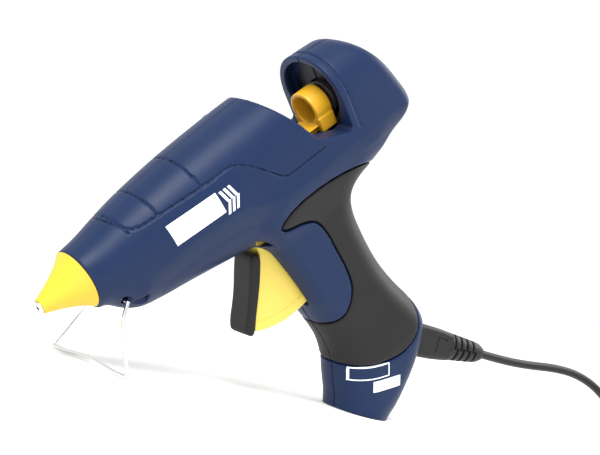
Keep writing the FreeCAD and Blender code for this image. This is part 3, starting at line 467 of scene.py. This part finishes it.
STATIONS = (-160, -133.5, -121, -100, -72, -42, -10, 15, 35, 52)
BARREL_HALF = (12.6, 13.8, 16.6, 19.8, 21.8, 22.4, 22.2, 21.3, 20.4, 19.6)
BARREL_ROUND = (12.3, 12.9, 17.0, 20.8, 23.5, 24.5, 24.5, 22.0, 21.0, 20.0)


def superellipse(y, depth, half, round_, power):
    """How far outside a rounded flank a point is: both how near the edge and how far out it is count."""
    edge = np.maximum(round_ - depth, 0) / round_
    return ((edge ** power + (abs(y) / half) ** power) ** (1 / power) - 1) * np.minimum(round_, half)


CREASE = smooth_outline([
    (70, -19), (23, -16.5), (5, -16), (-15, -16.8), (-22.5, -18.5), (-37.9, -16.2), (-49.9, -14.4),
    (-58.9, -9.6), (-67.2, -8.6), (-80, -7.6), (-96, -8.4), (-116, -10), (-122, -60), (70, -60)], 1)


def gun_field(x, y, z):
    """The whole solid gun: barrel and handle, each as deep as it is wide, softly joined."""
    half = np.interp(x, STATIONS, BARREL_HALF)
    round_ = np.interp(x, STATIONS, BARREL_ROUND)
    tuck = np.clip(-outline_field(x, z, CREASE) / 9.0, 0, 1)
    barrel = superellipse(y, -outline_field(x, z, BARREL), half - 2.4 * tuck, round_, 2.2)
    barrel = -soft_union(-barrel, -outline_field(x, z, REAR), 5.0)
    palm = np.interp(z, (-160, -140, -120, -100, -80, -55, -30), (17.4, 17.8, 18.2, 17.2, 16.8, 17.4, 18.6))
    round_ = 15.5 - 8.5 * np.clip((-22.0 - x) / 18.0, 0, 1) * np.clip((z + 96.0) / 18.0, 0, 1)
    handle = superellipse(y, -outline_field(x, z, HANDLE), palm, round_, 2.3)
    return soft_union(barrel, handle, 7.0)


LOW, HIGH = (-137.0, -24.0, -158.0), (52.0, 24.0, 28.0)
print("barrel outline %d points, handle %d" % (len(BARREL), len(HANDLE)))

# %% [markdown]
# The cuts: the saddle where the stick lies open, the round way for the stick and its trough, the oval
# hollow in the face of the head, the trigger's slot, the two hollows that the stand's legs turn in, the
# power inlet, the panel lines and the channel round the soft grip. The grip is a second material moulded
# into that channel, so its edge outline is shared by both pieces.

# %% Cuts and the grip's edge
GRIP = smooth_outline([
    (60, -52), (30, -38), (15, -35.0), (5.5, -29.2), (-7, -26.0), (-20, -24.2), (-32, -24.0), (-39.5, -25.2),
    (-47.6, -28.6), (-45.4, -32.2), (-36, -34.2), (-28.0, -38.0), (-24.6, -46), (-22.8, -60), (-21.4, -74),
    (-23.2, -82), (-31, -89.4), (-42, -91.2), (-60, -90.0), (-60, -110), (-47, -110), (-40, -114.6),
    (-29, -120.4), (-17, -124.9), (-8, -126.2), (0.5, -123.4), (6.8, -116.5), (9.5, -109), (14, -98),
    (40, -92)])
PANEL = [
    (-133, 20.5), (-118, 19.9), (-113.6, 16.4), (-110.6, 12.4), (-108.7, 10.9), (-105.3, 10.2),
    (-93.3, 10.2), (-67.6, 9.9), (-60.5, 10.4), (-57.0, 9.9), (-53.6, 8.4), (-48.7, 4.7), (-41.0, -3.6),
    (-38.4, -6.4), (-36.0, -8.3), (-33.0, -9.1), (-26.6, -9.2), (-11.2, -9.0)]
SADDLE = np.array([(-44, 60), (-30.4, 25.6), (-25, 17.2), (-18.6, 6.5), (-15.0, -0.8), (-13.4, -3.6),
                   (-10.6, -5.2), (3.4, -10.6), (5.4, -10.6), (6.5, -9.4), (6.5, 60)])
PIVOT = (-50.0, -29.5)
WIRE_HUB = (-123.5, -15.5)
WALL = 3.0
BODY_SCREWS = [(-77.0, -22.0), (-42.0, 18.2), (-18.0, -27.0), (-19.0, -79.5), (-34.0, -124.0),
               (29.0, -19.5)]


def rod_y(x, z, centre, radius):
    """Distance to a bar of that radius lying across the gun."""
    return np.hypot(x - centre[0], z - centre[1]) - radius


def shell_field(x, y, z, side):
    """One half of the shell with everything cut from it. side is -1 for the left half, 1 for the right."""
    form = gun_field(x, y, z)
    saddle = outline_field(x, z, SADDLE)
    axis = np.hypot(y, z)
    hollow = np.maximum(form + WALL, WALL - saddle)
    hollow = carve(hollow, box_field(x, y, z, (-133.5, -40, -14), (-129.0, 40, 14)))
    field = np.maximum(form, -hollow)
    head_wall = np.maximum(np.maximum(form + 1.0, 12.0 - x), x - 15.0)
    field = np.minimum(field, head_wall)
    for centre in BODY_SCREWS:
        field = np.minimum(field, np.maximum(rod_y(x, z, centre, 4.6), form + 0.2))
    field = carve(field, saddle)
    recess = np.sqrt((y / 17.3) ** 2 + ((z - 5.4) / 15.4) ** 2) * 15.4 - 15.4
    field = carve(field, np.maximum(recess, abs(x - 9.0) - 3.2))
    rim_line = np.maximum(abs(form + 0.25) - 0.6, abs(x - 10.6) - 0.35)
    field = carve(field, np.maximum(rim_line, -11.5 - z))
    field = carve(field, np.maximum(axis - 10.0, np.maximum(-60.0 - x, x - 10.7)))
    field = carve(field, box_field(x, y, z, (-60, -10.0, -14), (10.7, 10.0, 0.5), 1.0))
    field = carve(field, np.maximum(axis - 8.6, 10.0 - x))
    field = carve(field, np.maximum(axis - 11.9, x + 128.5))
    field = carve(field, box_field(x, y, z, (-68.3, -7.7, -60), (-55.0, 7.7, -28.0), 0.8))
    field = carve(field, box_field(x, y, z, (-67.0, -6.9, -78.3), (-30.0, 6.9, -28.0), 0.8))
    wire_hub = rod_y(x, z, WIRE_HUB, 0.0)
    cheek = np.maximum(np.maximum(form + 0.4, wire_hub - 12.0), abs(abs(y) - 10.0) - 2.2)
    field = np.minimum(field, cheek)
    fan = np.minimum(wire_hub - 2.3, np.maximum(wire_hub - 9.5, z + 17.4))
    field = carve(field, np.maximum(fan, 11.2 - abs(y)))
    field = carve(field, np.maximum(wire_hub - 1.5, 3.0 - abs(y)))
    leg = line_field(x, z, [(-123.5, -15.9), (-133.0, -23.8)])
    field = carve(field, np.maximum(leg - 1.7, 11.2 - abs(y)))
    field = carve(field, np.maximum(rod_y(x, z, PIVOT, 2.6), abs(y) - 15.0))
    field = carve(field, np.maximum(rod_y(x, z, PIVOT, 7.6), abs(y) - 13.7))
    up_x, up_z = upright(x, z)
    field = carve(field, box_field(up_x, y, up_z, (74.0, -5.3, 31.3), (140, 5.3, 48.7), 3.0))
    lines = line_field(x, z, PANEL)
    for place in (-112.0, -97.5, -75.0):
        ring = np.maximum(abs(x - place - (24 - z) * 0.10), 10.2 - z)
        lines = np.minimum(lines, ring)
    lines = np.maximum(lines - 0.36, -form - 0.85)
    field = carve(field, np.maximum(lines, form - 0.5))
    grip = outline_field(x, z, GRIP)
    field = carve(field, np.maximum(grip - 0.15, -(form + 1.6)))
    channel = np.maximum(abs(grip) - 0.45, -(form + 1.1))
    field = carve(field, channel)
    if side > 0:
        for centre in BODY_SCREWS:
            field = carve(field, np.maximum(rod_y(x, z, centre, 3.4), 10.0 - y))
            field = carve(field, np.maximum(rod_y(x, z, centre, 1.9), -y))
    seam = 0.06 + 0.35 * np.clip(1 - abs(form) / 0.5, 0, 1)
    field = np.maximum(field, seam - side * y)
    field = carve(field, up_z)
    return np.maximum(field, -133.5 - x)


def grip_field(x, y, z, side):
    """The soft grip on one side: a skin 1.5 mm deep inside its edge line, rounded over at the edge."""
    form = gun_field(x, y, z)
    edge = outline_field(x, z, GRIP) + 0.55
    rounded = np.clip(1 + edge / 1.2, 0, 1) ** 2 * 0.45
    field = np.maximum(np.maximum(form - 0.12 + rounded, -(form + 1.5)), edge)
    up_x, up_z = upright(x, z)
    field = carve(field, box_field(up_x, y, up_z, (80.0, -5.6, 31.0), (140, 5.6, 49.0), 3.0))
    return np.maximum(field, 0.12 - side * y)


STEP = 0.58
for label, side in (("left", -1), ("right", 1)):
    low = (LOW[0], -1.4 if side > 0 else -24.5, LOW[2])
    high = (HIGH[0], 24.5 if side > 0 else 1.4, HIGH[2])
    x, y, z = axes_of(low, high, STEP)
    skin(label + "_shell", shell_field(x, y, z, side), low, STEP, False, blue, "root",
         [label + "_housing"])
    low, high = (-56.0, low[1], -132.0), (34.0, high[1], -18.0)
    x, y, z = axes_of(low, high, STEP)
    skin(label + "_soft_grip", grip_field(x, y, z, side), low, STEP, False, grip_grey, "root",
         [label + "_grip"])

# %% [markdown]
# The nozzle's cover is a soft cone with a rolled rim that sits just clear of the shell. It is turned: one
# half profile carried round the barrel's axis. The same helper turns the trigger's pin.

# %% Turned pieces
def turned_mesh(name, profile, turns=96, place=stand_up):
    """Points (x, radius) carried round the x axis: y = radius * cos(angle), z = radius * sin(angle)."""
    line = np.array(profile, float)
    angle = np.linspace(0, 2 * math.pi, turns, endpoint=False)
    grid = np.stack([
        np.repeat(line[:, :1], turns, 1), line[:, 1:] * np.cos(angle), line[:, 1:] * np.sin(angle)], 2)
    rows, count = len(line), turns
    i, j = np.meshgrid(np.arange(rows), np.arange(count), indexing="ij")
    after = (i + 1) % rows
    faces = np.stack([i * count + j, after * count + j, after * count + (j + 1) % count,
                      i * count + (j + 1) % count], 2).reshape(-1, 4)
    mesh = bpy.data.meshes.new(name)
    mesh.from_pydata(place(grid.reshape(-1, 3)).tolist(), [], faces.tolist())
    mesh.update()
    return mesh


def sharp(mesh, degrees):
    """Keeps edges sharper than this angle crisp while the rest shade smoothly."""
    mesh.set_sharp_from_angle(angle=math.radians(degrees))
    return mesh


cover = turned_mesh("cover", [
    (-153.3, 2.75), (-153.6, 3.0), (-153.5, 3.4), (-151.0, 4.3), (-147.0, 5.85), (-142.0, 8.15),
    (-138.0, 10.3), (-135.6, 12.0), (-134.4, 13.0), (-133.9, 13.45), (-133.65, 13.3), (-133.6, 12.9),
    (-133.6, 11.4), (-129.6, 11.4), (-129.6, 9.4), (-136.0, 9.3), (-150.4, 2.75)])
settle("cover", cover, nozzle_yellow, "root", ["nozzle_cover"])
sharp(cover, 50)

# %% [markdown]
# The stand is one bright wire. A tube is a circle carried along a path: at each point of the path a ring
# is set square to it. The path's corners are rounded by cutting them again and again before the ring goes
# along it.

# %% The wire stand
def wire_mesh(name, path, radius, sides=14, place=stand_up):
    """Rings square to the path: centre + radius * (side * cos + other * sin), the sides carried along."""
    line = np.array(path, float)
    way = np.gradient(line, axis=0)
    way /= np.linalg.norm(way, axis=1)[:, None]
    side = np.zeros_like(way)
    current = np.cross(way[0], (0.3, 0.1, 1.0))
    for i, direction in enumerate(way):
        current = current - direction * current.dot(direction)
        current /= np.linalg.norm(current)
        side[i] = current
    other = np.cross(way, side)
    angle = np.linspace(0, 2 * math.pi, sides, endpoint=False)[None, :, None]
    rings = line[:, None] + radius * (side[:, None] * np.cos(angle) + other[:, None] * np.sin(angle))
    i, j = np.meshgrid(np.arange(len(line) - 1), np.arange(sides), indexing="ij")
    faces = np.stack([i * sides + j, i * sides + (j + 1) % sides, (i + 1) * sides + (j + 1) % sides,
                      (i + 1) * sides + j], 2).reshape(-1, 4).tolist()
    faces += [list(range(sides))[::-1], [(len(line) - 1) * sides + k for k in range(sides)]]
    mesh = bpy.data.meshes.new(name)
    mesh.from_pydata(place(rings.reshape(-1, 3)).tolist(), [], faces)
    mesh.update()
    return mesh


def rounded_path(points, rounds=4):
    """An open path with its corners cut, its two ends kept."""
    line = np.array(points, float)
    for _ in range(rounds):
        cut = np.stack([0.75 * line[:-1] + 0.25 * line[1:], 0.25 * line[:-1] + 0.75 * line[1:]], 1)
        line = np.vstack([line[:1], cut.reshape(-1, 3), line[-1:]])
    return line


leg = [(-123.5, 4.8, -15.5), (-123.5, 10.8, -15.5), (-123.5, 12.9, -15.5), (-124.8, 13.5, -16.3),
       (-130.5, 14.8, -20.1), (-137.8, 21.6, -27.0), (-144.4, 28.0, -32.8), (-145.6, 29.6, -33.9),
       (-145.6, 26.0, -33.9), (-145.6, 19.0, -33.9), (-145.0, 9.0, -33.3), (-144.5, 0.0, -32.8)]
wire = rounded_path(leg + [(x, -y, z) for x, y, z in reversed(leg[:-1])])
settle("stand_wire_bright", wire_mesh("stand_wire_bright", wire, 0.9), bright_steel, "stand",
       ["stand_wire"])

# %% [markdown]
# The trigger is a thin yellow sector with a dark soft pad along its front edge. Both are fields again, so
# that their edges come out softly rounded, on a finer grid than the shell.

# %% Trigger and pad
def from_pivot(degrees, radius):
    """The place at that distance from the pivot, that angle forward of straight down."""
    turn = math.radians(degrees)
    return (PIVOT[0] - radius * math.sin(turn), PIVOT[1] - radius * math.cos(turn))


arc = [from_pivot(a, 47.3) for a in np.linspace(28.3, -24.0, 14)]
SECTOR = np.array([from_pivot(-62.0, 6.0), from_pivot(40.0, 6.0), from_pivot(18.0, 12.0),
                   from_pivot(22.0, 22.0), from_pivot(25.0, 31.0), from_pivot(27.7, 43.0)] + arc)
PAD = smooth_outline([
    from_pivot(18.0, 12.0), from_pivot(22.0, 22.0), from_pivot(25.0, 31.0), from_pivot(27.7, 43.0),
    from_pivot(28.1, 48.4), from_pivot(30.6, 49.6), from_pivot(34.8, 47.0), from_pivot(34.0, 32.0),
    from_pivot(37.0, 21.5), from_pivot(43.0, 11.6)], 2)
low, high, step = (-86.0, -14.6, -80.0), (-28.0, 14.6, -3.0), 0.45
x, y, z = axes_of(low, high, step)
reach = np.hypot(x - PIVOT[0], z - PIVOT[1])
sector = outline_field(x, z, SECTOR)
web = np.maximum(sector, abs(y) - 5.6)
rim = np.maximum(np.maximum(sector, 43.0 - reach), abs(y) - 6.3)
body = np.minimum(web, rim)
hub = np.maximum(reach - 3.9, abs(y) - 13.1)
lean = math.radians(13.0)
arm_u = (x - PIVOT[0]) * math.cos(lean) - (z - PIVOT[1]) * math.sin(lean)
arm_v = (x - PIVOT[0]) * math.sin(lean) + (z - PIVOT[1]) * math.cos(lean)
arm = np.maximum(abs(arm_u) - 4.3, np.maximum(-arm_v, arm_v - 27.0))
arm = carve(arm, np.maximum(abs(arm_u) - 2.75, 20.4 - arm_v))
arm = np.maximum(arm, abs(abs(y) - 11.6) - 1.2)
body = np.minimum(np.minimum(body, hub), arm)
body = np.maximum(body, -(reach - 2.35))
body = np.maximum(body, -(outline_field(x, z, PAD) - 0.1))
skin("trigger_sector", body, low, step, False, trigger_yellow, "trigger", ["trigger"])
low, high, step = (-86.0, -9.6, -82.0), (-50.0, 9.6, -34.0), 0.4
x, y, z = axes_of(low, high, step)
side_view = outline_field(x, z, PAD)
pad = np.sqrt(np.maximum(side_view + 2.0, 0) ** 2 + np.maximum(abs(y) - 5.4, 0) ** 2) - 2.0
skin("trigger_soft_pad", np.maximum(pad, side_view), low, step, False, grip_grey, "trigger",
     ["trigger_pad"])

# %% [markdown]
# The feed sled shows through the saddle: a round collar with a rolled edge, which the stick passes
# through, on a square block. A low trough runs forward from it under the barrel, to the lugs that the
# trigger's fork pushes, and the jaw hangs between two ears.

# %% Feed sled
low, high, step = (-50.0, -13.6, -16.0), (10.6, 13.6, 11.0), 0.4
x, y, z = axes_of(low, high, step)
axis = np.hypot(y, z)
ring = np.sqrt(np.maximum(abs(axis - 7.6) - 0.5, 0) ** 2 + np.maximum(abs(x - 3.9) - 4.0, 0) ** 2) - 0.65
trough = np.maximum(np.maximum(axis - 9.6, abs(x + 20.5) - 27.0), z - 1.0)
trough = np.maximum(trough, 6.5 - axis)
trough = np.maximum(trough, np.minimum(z + 6.6, x + 34.0))
base = box_field(x, y, z, (-0.9, -8.8, -10.4), (8.4, 8.8, -3.0), 0.9)
floor = box_field(x, y, z, (-48.0, -4.5, -10.4), (9.0, 4.5, -7.0), 0.6)
lugs = np.maximum(np.hypot(x + 44.57, z + 6.0) - 2.35, np.maximum(6.6 - abs(y), abs(y) - 12.8))
ears = np.maximum(np.hypot(x + 30.0, z + 12.6) - 2.6, abs(abs(y) - 3.35) - 1.15)
sled = np.minimum(np.minimum(ring, base), np.minimum(trough, np.minimum(floor, np.minimum(lugs, ears))))
sled = np.maximum(sled, 6.45 - axis)
sled = carve(sled, box_field(x, y, z, (-43.0, -2.0, -20.0), (-26.0, 2.0, 0.0)))
sled = carve(sled, np.maximum(np.hypot(x + 30.0, z + 12.6) - 1.3, abs(y) - 6))
skin("sled_collar", sled, low, step, False, sled_yellow, "sled", ["feed_sled"])

# %% [markdown]
# Two small pieces are trimmed to the shell's own skin: the black guide that the stick enters by, flush
# with the back of the head, and the steel pin that the trigger turns on, which stops inside the flank.

# %% Rear guide and trigger pin
low, high, step = (9.9, -9.6, -9.6), (50.2, 9.6, 9.6), 0.4
x, y, z = axes_of(low, high, step)
tube = np.maximum(np.maximum(np.hypot(y, z) - 8.45, 6.5 - np.hypot(y, z)), 10.6 - x)
skin("rear_guide", np.maximum(tube, gun_field(x, y, z) + 0.5), low, step, False, black_plastic, "root",
     ["stick_guide"])
pin_profile = [(-14.8, 0.02), (-14.8, 1.7), (-14.5, 2.0), (14.5, 2.0), (14.8, 1.7), (14.8, 0.02)]
pin = turned_mesh("pivot_pin", pin_profile, 40, lambda p: stand_up(
    np.stack([p[:, 1] + PIVOT[0], p[:, 0], p[:, 2] + PIVOT[1]], 1)))
sharp(settle("pivot_pin", pin, steel, "root", ["trigger_pin"]).data, 40)

# %% [markdown]
# The connector is a moulded boot with a raised band where it enters the gun and a square bracket mark on
# its side; behind it the strain relief is a tapering run of ribs with staggered slots, so that it bends.

# %% Connector and strain relief
INLET_Z = 40.0
low, high, step = (95.5, -6.5, 30.0), (134.5, 6.5, 50.0), 0.35
x, y, z = axes_of(low, high, step)
BOOT = smooth_outline([
    (90, 31.8), (104, 31.8), (118, 31.9), (126, 32.4), (140, 34.0), (140, 46.0), (126, 47.6),
    (118, 48.1), (104, 48.2), (90, 48.2)], 2)
side_view = outline_field(x, z, BOOT)
boot = np.sqrt(np.maximum(side_view + 2.4, 0) ** 2 + np.maximum(abs(y) - 2.4, 0) ** 2) - 2.4
boot = np.maximum(boot, abs(x - 114.44) - 17.85)
bracket = line_field(x, z, [(128, 43.2), (121.6, 43.6), (121.6, 36.4)])
boot = carve(boot, np.maximum(bracket - 0.42, -(boot + 0.6)))
pins = np.hypot(y, abs(z - INLET_Z) - 4.3) - 1.5
boot = carve(boot, np.maximum(pins, x - 104.2))
skin("connector_boot", boot, low, step, True, cord_grey, "cordset", ["connector"])
low, high, step = (131.4, -6.4, 32.0), (159.2, 6.4, 48.0), 0.3
x, y, z = axes_of(low, high, step)
tall = np.interp(x, (132.3, 150.0, 155.0, 158.3), (7.1, 5.6, 4.9, 3.4))
wide = np.interp(x, (132.3, 150.0, 155.0, 158.3), (4.9, 4.3, 3.9, 3.1))
relief = (np.sqrt((y / wide) ** 2 + ((z - INLET_Z) / tall) ** 2) - 1) * 4.4
relief = np.maximum(relief, np.maximum(132.4 - x, x - 158.26))
axis = np.hypot(y, z - INLET_Z)
for number in range(4):
    place = 135.2 + 4.6 * number
    upper = np.maximum(abs(x - place) - 0.75, 39.4 - z)
    lower = np.maximum(abs(x - place - 2.1) - 0.75, z - 40.6)
    slots = np.maximum(np.minimum(upper, lower), 2.9 - axis)
    relief = carve(relief, slots)
skin("relief_ribs", relief, low, step, True, cord_grey, "cordset", ["strain_relief"])

# %% [markdown]
# A plain pale floor and soft light. The floor is so large and so evenly lit that its edge doesn't show.
# A big soft lamp above and to the left gives the slow highlights on the barrel, and a weak one behind on
# the right lifts the head and the back of the handle a little.

# %% Floor, backdrop and light
bpy.ops.mesh.primitive_plane_add(size=30.0, location=(0, 0, -0.0002))
floor_piece = bpy.context.object
floor_piece.name = "floor"
paper = Finish("paper")
paper_grain = paper.noise(60.0)
paper.set(Base_Color=paper.mix(paper_grain, [0.93, 0.93, 0.93, 1], [0.95, 0.95, 0.95, 1]), Roughness=0.9)
floor_piece.data.materials.append(paper.material)
world = bpy.data.worlds.new("studio")
bpy.context.scene.world = world
world.use_nodes = True
world.node_tree.nodes["Background"].inputs[0].default_value = (1.0, 1.0, 1.0, 1.0)
world.node_tree.nodes["Background"].inputs[1].default_value = 1.07


def soft_lamp(name, place, target, size, power):
    """A square lamp that looks at a point: its back axis is the way from the target to the lamp."""
    light = bpy.data.lights.new(name, "AREA")
    light.size = size
    light.energy = power
    lamp = bpy.data.objects.new(name, light)
    bpy.context.scene.collection.objects.link(lamp)
    lamp.location = place
    lamp.rotation_euler = (Vector(place) - Vector(target)).to_track_quat("Z", "Y").to_euler()


soft_lamp("key", (-0.75, -0.55, 1.10), (0.0, 0.0, 0.09), 0.7, 24.0)
soft_lamp("rim", (0.70, -0.10, 0.55), (0.03, 0.0, 0.09), 0.5, 4.0)
bpy.context.scene.view_settings.view_transform = "Standard"
print("floor and lamps set")
